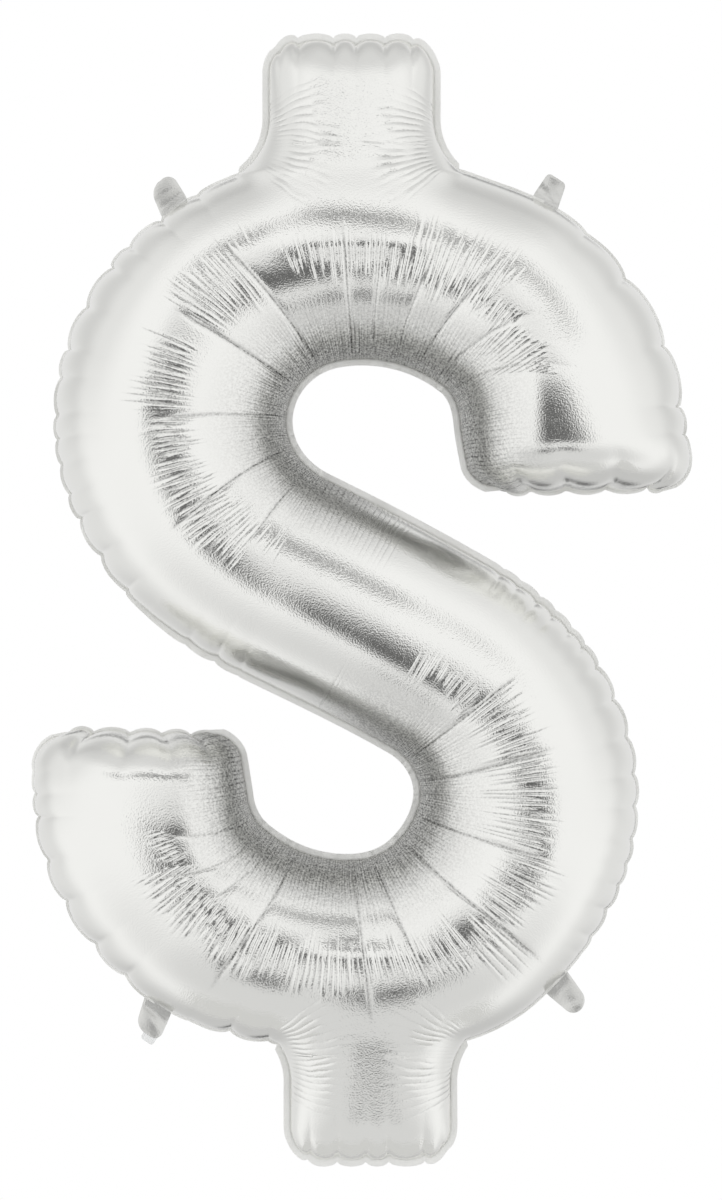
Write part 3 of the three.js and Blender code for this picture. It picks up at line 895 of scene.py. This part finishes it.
def foil_surface(side, seed):
    """A foil half with all its wrinkles, side -1 the front, 1 the back, what its looks go by, and
    its seam with the rim's width there."""
    grid = foil_grid()
    index = np.arange(grid["x"].size).reshape(grid["x"].shape)
    pull, sink = edge_puckers(grid)
    end_pull, end_sink = end_puckers(grid)
    outward = np.where(grid["along"] < MIDDLE, -1.0, 1.0)
    beside_x, beside_z = -np.sin(grid["heading"]), np.cos(grid["heading"])
    x = grid["x"] - outward * beside_x * pull + np.cos(grid["heading"]) * end_pull
    z = grid["z"] - outward * beside_z * pull + np.sin(grid["heading"]) * end_pull
    flat = [np.stack([x, side * grid["height"], z], axis=-1).reshape(-1, 3)]
    grid["rim"][[0, -1]] = RIM_OUTSIDE
    rim = [grid["rim"].ravel()]
    pleats = pleated(grid, seed)
    band = [grid["band"].ravel()]
    # Painted shade beside the inner seams and along the creases, as the share of colour left
    shade = [(foil_shade(grid) * grid["lined"]).ravel()]
    uv = [np.stack([grid["along"], grid["beside"]], axis=-1).reshape(-1, 2) * MM]
    proud = [(pleats - sink - end_sink).ravel()]
    quads = [grid_quads(index)]
    count = index.size
    patches = []
    for stub in STUBS:
        patch = stub_patch(grid, stub)
        columns, rows = patch["x"].shape
        numbers = count + np.arange(columns * (rows - 1)).reshape(columns, rows - 1)
        base = index[patch["base"], patch["edge"]][:, None]
        rows_index = np.concatenate([base, numbers], axis=1)
        count += numbers.size
        middle, _, up = stub[:3]
        px, pz = patch["x"][:, 1:], patch["z"][:, 1:]
        wave, _, _ = swell_between(np.array(STUB_VALLEYS), (px - middle) * up)
        end = np.maximum(HEIGHT / 2 - RIM - np.abs(pz), 0)
        fade = np.exp(-((end / STUB_PUCKER_REACH) ** PUCKER_POWER))
        pulled = up * PUCKER_DEPTH * (1 - wave) * fade
        sunk = STUB_PUCKER_SINK * (1 - wave) * np.exp(-end / STUB_SINK_REACH)
        points = np.stack([px, side * patch["height"][:, 1:], pz - pulled], axis=-1)
        flat.append(points.reshape(-1, 3))
        proud.append(-sunk.ravel())
        shade.append(np.ones(px.size))
        rim.append(np.full(px.size, RIM))
        band.append(np.zeros(px.size))
        uv.append(np.stack([px + STUB_MAP_START, pz], axis=-1).reshape(-1, 2) * MM)
        quads.append(grid_quads(rows_index))
        patches.append(rows_index)
    points = np.concatenate(flat)
    quads = np.concatenate([faced(points, sheet, side) for sheet in quads])
    proud = np.concatenate(proud)
    fan_count, fan_strength = fans(points[:, 0], points[:, 2])
    normals = vertex_normals(points, quads)
    seam = seam_loop(index, patches, grid)
    at_seam = np.zeros(len(points), bool)
    at_seam[seam] = True
    proud[at_seam] = 0.0
    points = points + normals * proud[:, None]
    points[at_seam, 1] = side * SEAM_HALF
    looks = {
        "shade": np.concatenate(shade),
        "pleats": np.concatenate(band),
        "fan_count": fan_count,
        "fan_strength": fan_strength,
        "uv": np.concatenate(uv),
    }
    return points, quads, looks, (points[seam], np.concatenate(rim)[seam])


def seam_loop(index, patches, grid):
    """Vertex numbers round the seam, in order: along the right edge, back along the left one."""
    columns = index.shape[0]
    right, left = list(index[:, 0]), list(index[:, -1])
    for rows_index, stub in zip(patches, STUBS):
        edge = right if stub[2] > 0 else left
        start, end = rows_index[0, 0], rows_index[-1, 0]
        outline = list(rows_index[0, 1:]) + list(rows_index[1:, -1])
        outline += list(rows_index[-1, 1:-1][::-1])
        first, last = edge.index(start), edge.index(end)
        if first > last:
            first, last = last, first
            outline = outline[::-1]
        edge[first + 1 : last] = outline
    far = list(index[columns - 1, 1:-1])
    near = list(index[0, 1:-1])[::-1]
    return np.array(right + far + left[::-1] + near)


def evened(closed, count):
    """A closed loop's values, each the mean of its neighbours."""
    window = np.hanning(2 * count + 3)[1:-1]
    padded = np.concatenate([closed[-count:], closed, closed[:count]])
    return np.convolve(padded, window / window.sum(), mode="valid")


def rim_strip(edge, width):
    """The welded rim outside a closed seam line: rows in front from under the foil outwards, then
    rows behind inwards."""
    x, z = edge[:, 0], edge[:, 2]
    run = np.stack([evened(np.roll(v, -2) - np.roll(v, 2), RIM_EVEN) for v in (x, z)])
    run /= np.linalg.norm(run, axis=0)
    out = np.stack([run[1], -run[0]])
    if np.sum((np.roll(x, -1) - x) * z) > 0:
        out = -out
    rng = np.random.RandomState(RIM_SEED)
    wave = evened(rng.normal(0, 1, len(x)), RIM_WAVE_EVEN)
    wave *= RIM_WAVE / np.abs(wave).max()
    rows = []
    for half, shares in ((-RIM_HALF, RIM_ROWS), (RIM_HALF, RIM_ROWS[::-1])):
        for share in shares:
            reach = share * width - RIM_UNDER * (share == 0)
            row = [x + out[0] * reach, half + wave * share, z + out[1] * reach]
            rows.append(np.stack(row, axis=-1))
    count, deep = len(x), len(rows)
    index = np.arange(count * deep).reshape(deep, count)
    index = np.concatenate([index, index[:1]])
    index = np.concatenate([index, index[:, :1]], axis=1)
    return np.concatenate(rows), grid_quads(index)


def flap_sheet(row, low, thick, sideways=0.0):
    """A flap's film from low in the rim to its tip: points and quads, its joint's place and the
    direction out of the rim."""
    name, root, tip, high, lean, corner, curl, bow, crease = row
    joint = next(j for j in frame["joints"] if j["child"] == name)
    origin = np.array(joint["pos_m"]) / MM
    axis = np.array(joint["axis"])
    outward = np.array([-axis[2], 0.0, axis[0]])
    up = np.linspace(0, 1, FLAP_ROWS)
    up = low + (high - low) * np.sin(0.5 * np.pi * up)
    across = np.sin(0.5 * np.pi * np.linspace(-1, 1, FLAP_COLUMNS))
    share = clamp01(up / high)
    left = high - up
    cut = corner_loss(np.maximum(left, 0), corner)
    half = 0.5 * (root + (tip - root) * share) - cut
    middle = sideways + np.tan(np.radians(lean)) * up
    u, v = np.meshgrid(across, up)
    flat = middle[:, None] + u * half[:, None]
    forward = curl * share[:, None] ** 2
    forward = forward + bow * (1 - u**2) * np.sin(np.pi * np.minimum(share, 1))[:, None]
    fold = (share[:, None] - crease) * FOLD_STEEP + FOLD_SLANT * u
    forward = forward + FLAP_FOLD * np.tanh(fold) * smooth(share * FOLD_START)[:, None]
    rim = 1 - smooth((1 - np.abs(u)) * half[:, None] / FLAP_EDGE)
    rim = np.maximum(rim, 1 - smooth(left[:, None] / FLAP_EDGE))
    puff = thick * (1 - FLAP_THIN * rim)
    rows = []
    for side in (-1, 1):
        spot = origin + flat[..., None] * axis + v[..., None] * outward
        spot[..., 1] += -forward + side * puff
        rows.append(spot.reshape(-1, 3))
    front = np.arange(u.size).reshape(u.shape)
    back = front + u.size
    ring = np.concatenate([front[0], front[1:, -1], front[-1, -2::-1], front[-2:0:-1, 0]])
    ring = np.append(ring, ring[0])
    side_index = np.stack([ring, ring + u.size])
    quads = np.concatenate([grid_quads(front), grid_quads(back)[:, ::-1], grid_quads(side_index)])
    return np.concatenate(rows), quads, origin, outward


def node_tree(material):
    material.use_nodes = True
    tree = material.node_tree
    tree.nodes.clear()
    return tree


def add(tree, kind, **values):
    """A node with its sockets set by name, or linked where the value is a socket."""
    node = tree.nodes.new(kind)
    for name, value in values.items():
        if hasattr(node, name) and name not in node.inputs:
            setattr(node, name, value)
            continue
        socket = node.inputs[name.replace("_", " ") if name not in node.inputs else name]
        if isinstance(value, bpy.types.NodeSocket):
            tree.links.new(value, socket)
        else:
            socket.default_value = value
    return node


def maths(tree, operation, *values):
    """A sum or function of sockets and numbers."""
    node = add(tree, "ShaderNodeMath", operation=operation)
    for socket, value in zip(node.inputs, values):
        if isinstance(value, bpy.types.NodeSocket):
            tree.links.new(value, socket)
        else:
            socket.default_value = value
    return node.outputs[0]


def eased(tree, value, low, high, at_low, at_high):
    """A soft step between two values."""
    fade = add(tree, "ShaderNodeMapRange", interpolation_type="SMOOTHSTEP", Value=value)
    limits = {"From Min": low, "From Max": high, "To Min": at_low, "To Max": at_high}
    for name, limit in limits.items():
        fade.inputs[name].default_value = limit
    return fade.outputs["Result"]


def attribute(tree, name):
    """A mesh attribute's value."""
    return add(tree, "ShaderNodeAttribute", attribute_name=name).outputs["Fac"]


def principled(name, **values):
    """A material of one principled shader, its sockets set by name."""
    material = bpy.data.materials.new(name)
    tree = node_tree(material)
    shader = add(tree, "ShaderNodeBsdfPrincipled", **values)
    add(tree, "ShaderNodeOutputMaterial", Surface=shader.outputs["BSDF"])
    return material, tree, shader


def noise(tree, place, scale, detail=1.0):
    """Soft noise at so many features a unit of length."""
    return add(tree, "ShaderNodeTexNoise", Vector=place, Scale=scale, Detail=detail).outputs["Fac"]


def bumped(tree, height, depth, strength=1.0, **below):
    """The normal of a bump with such a depth in metres."""
    node = add(tree, "ShaderNodeBump", Height=height, Strength=strength, Distance=depth, **below)
    return node.outputs["Normal"]


def valley_shade(tree, wave, strength, shade):
    """Painted shade in the narrow valleys between waves: how dark they are."""
    valley = maths(tree, "POWER", maths(tree, "SUBTRACT", 1.0, wave), VALLEY_POWER)
    return maths(tree, "MULTIPLY", maths(tree, "MULTIPLY", valley, strength), shade)


def teeth(tree, below):
    """Fine teeth across the strokes where the foil is pleated: bump over what lies below, and
    the painted shade in their valleys."""
    uv = add(tree, "ShaderNodeUVMap", uv_map="foil").outputs["UV"]

    def changes(scale):
        spread = add(tree, "ShaderNodeMapping", Vector=uv, Scale=scale)
        return noise(tree, spread.outputs["Vector"], 1.0)

    along = add(tree, "ShaderNodeSeparateXYZ", Vector=uv).outputs["X"]
    turns = maths(tree, "MULTIPLY", along, np.pi / TOOTH_PITCH)
    shift = maths(tree, "MULTIPLY", changes(SHIFT_SCALE), TOOTH_SHIFT)
    wave = maths(tree, "ABSOLUTE", maths(tree, "SINE", maths(tree, "ADD", turns, shift)))
    height = maths(tree, "MULTIPLY", wave, changes(TALL_SCALE))
    strength = attribute(tree, "pleats")
    bump = bumped(tree, height, TOOTH_DEPTH, strength, Normal=below)
    return bump, valley_shade(tree, wave, strength, TOOTH_SHADE)


def fan_waves(tree, place, below):
    """The fanned wrinkles as bump over what lies below, and the painted shade in their valleys."""
    bend = noise(tree, place, FAN_BEND_SCALE)
    turns = maths(tree, "MULTIPLY", attribute(tree, "fan_count"), np.pi)
    shifted = maths(tree, "MULTIPLY_ADD", bend, FAN_SHIFT, turns)
    wave = maths(tree, "ABSOLUTE", maths(tree, "SINE", shifted))
    tall = eased(tree, noise(tree, place, FAN_TALL_SCALE), *FAN_TALL)
    height = maths(tree, "MULTIPLY", wave, tall)
    strength = attribute(tree, "fan_strength")
    bump = bumped(tree, height, FAN_DEPTH, strength, Normal=below)
    return bump, valley_shade(tree, wave, maths(tree, "MULTIPLY", strength, tall), FAN_SHADE)


def stippled(tree, colour, place, loss):
    """A colour darkened in grains by painted shade, the light that it loses."""
    grains = eased(tree, noise(tree, place, STIPPLE_SCALE), *STIPPLE)
    left = maths(tree, "SUBTRACT", 1.0, maths(tree, "MULTIPLY", loss, grains))
    mixed = add(tree, "ShaderNodeVectorMath", operation="SCALE", Vector=colour, Scale=left)
    return mixed.outputs[0]


def foil_material(name, colour, roughness, grain, shaded=False):
    """Aluminised film: a satin mirror with fine grain and faint clouds; where shaded, with painted
    shade in its colour, which also makes it rougher.
    """
    material, tree, shader = principled(name, Metallic=1.0, Roughness=roughness)
    place = add(tree, "ShaderNodeTexCoord").outputs["Object"]
    tint = add(tree, "ShaderNodeValToRGB", Fac=noise(tree, place, CLOUD_SCALE, detail=3.0))
    low, high, dark = CLOUDS
    for stop, at, left in zip(tint.color_ramp.elements, (low, high), (dark, 1.0)):
        stop.position = at
        stop.color = [c * left for c in colour] + [1]
    colour_out = tint.outputs["Color"]
    bump = bumped(tree, noise(tree, place, GRAIN_SCALE), GRAIN_DEPTH, grain)
    if shaded:
        bump, toothed = teeth(tree, bump)
        bump, fanned = fan_waves(tree, place, bump)
        # Painted shade: the valleys of teeth and fans and the shade attribute darken the colour
        valleys = maths(tree, "ADD", toothed, fanned)
        loss = maths(tree, "SUBTRACT", valleys, attribute(tree, "shade"))
        loss = maths(tree, "ADD", loss, 1.0)
        colour_out = stippled(tree, colour_out, place, loss)
        rough = maths(tree, "MULTIPLY_ADD", loss, CRINKLED_ROUGH, roughness)
        tree.links.new(rough, shader.inputs["Roughness"])
    tree.links.new(colour_out, shader.inputs["Base Color"])
    tree.links.new(bump, shader.inputs["Normal"])
    return material


def clear_material():
    """Clear soft film, a little milky in places."""
    values = {"Base_Color": CLEAR_COLOUR, "Alpha": CLEAR_ALPHA}
    material, tree, shader = principled("clear_film", **values)
    place = add(tree, "ShaderNodeTexCoord").outputs["Object"]
    cloud = noise(tree, place, CLEAR_SCALE, detail=2.0)
    rough = maths(tree, "MULTIPLY", cloud, CLEAR_ROUGH)
    tree.links.new(rough, shader.inputs["Roughness"])
    tree.links.new(bumped(tree, cloud, CLEAR_DEPTH), shader.inputs["Normal"])
    return material


def studio():
    """A white studio with soft dark gaps in front, and the same, mirrored, behind the balloon."""
    world = bpy.data.worlds.new("studio")
    bpy.context.scene.world = world
    tree = node_tree(world)
    place = add(tree, "ShaderNodeTexCoord")
    parts = add(tree, "ShaderNodeSeparateXYZ", Vector=place.outputs["Generated"])

    depth = maths(tree, "ABSOLUTE", parts.outputs["Y"])
    lon = maths(tree, "ARCTAN2", parts.outputs["X"], depth)
    lat = maths(tree, "ARCSINE", parts.outputs["Z"])

    light = eased(tree, parts.outputs["Y"], BEHIND["from"], BEHIND["to"], 1.0, BEHIND["left"])
    for row in GAPS:
        offset = []
        for value, at, size in zip((lon, lat), row["at"], row["size"]):
            off = maths(tree, "SUBTRACT", value, np.radians(at))
            scaled = maths(tree, "DIVIDE", off, np.radians(size))
            offset.append(maths(tree, "MULTIPLY", scaled, scaled))
        radius = maths(tree, "SQRT", maths(tree, "ADD", *offset))
        kept = eased(tree, radius, 1 - row["soft"], 1 + row["soft"], 1 - row["dark"], 1.0)
        light = maths(tree, "MULTIPLY", light, kept)
    grey = add(tree, "ShaderNodeCombineColor", Red=light, Green=light, Blue=light)
    lit = add(tree, "ShaderNodeBackground", Color=grey.outputs["Color"], Strength=1.0)
    plain = add(tree, "ShaderNodeBackground", Color=(1, 1, 1, 1), Strength=1.0)
    direct = add(tree, "ShaderNodeLightPath").outputs["Is Camera Ray"]
    both = add(tree, "ShaderNodeMixShader")
    for socket, value in zip(both.inputs, (direct, lit.outputs[0], plain.outputs[0])):
        tree.links.new(value, socket)
    add(tree, "ShaderNodeOutputWorld", Surface=both.outputs["Shader"])


def stage_set():
    """A floor of pale paper far below the balloon."""
    paper, _, _ = principled("pale_paper", Base_Color=PAPER_COLOUR, Roughness=PAPER_ROUGH)
    z = cad_box[0].z - FLOOR_BELOW
    near, far, half = FLOOR_REACH
    corners = np.array([(-half, near, z), (half, near, z), (half, far, z), (-half, far, z)])
    floor = make_mesh("floor", corners / MM, np.array([[0, 1, 2, 3]]), paper)


def camera():
    data = bpy.data.cameras.new("camera")
    data.lens = LENS
    data.sensor_width = SENSOR
    data.clip_end = CLIP_END
    made = bpy.data.objects.new("camera", data)
    made.location = (0.0, -FIELD_HEIGHT * LENS / SENSOR, 0.0)
    made.rotation_euler = (np.pi / 2, 0, 0)
    bpy.context.scene.collection.objects.link(made)
    bpy.context.scene.camera = made


camera()
studio()
stage_set()
bpy.context.scene.view_settings.view_transform = "Standard"

foil = foil_material("foil", *FOIL, shaded=True)
for name, side, seed in (("front_foil", -1, 3), ("back_foil", 1, 8)):
    points, quads, looks, seam = foil_surface(side, seed)
    panel = make_mesh(name, points, quads, foil, looks)
    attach(panel, "envelope")
    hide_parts(name.replace("foil", "panel"))

# Both halves have the same seam line, so the last one serves
rim = make_mesh("welded_rim", *rim_strip(*seam), foil_material("foil_rim", *RIM_FOIL))
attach(rim, "envelope")
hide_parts("seam_rim")

tab_foil = foil_material("foil_tab", *TAB_FOIL)
for row in FLAPS:
    points, quads, origin, outward = flap_sheet(row, -FLAP_UNDER, FLAP_FILM)
    flap = make_mesh(row[0] + "_film", points, quads, tab_foil)
    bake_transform(flap)
    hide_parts(row[0])

points, quads, _, _ = flap_sheet(VALVE_FILM, VALVE_START, VALVE_THICK, VALVE_SHIFT)
valve = make_mesh("valve_film_sheet", points, quads, clear_material())
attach(valve, "inflation_tail")
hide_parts("valve_film")
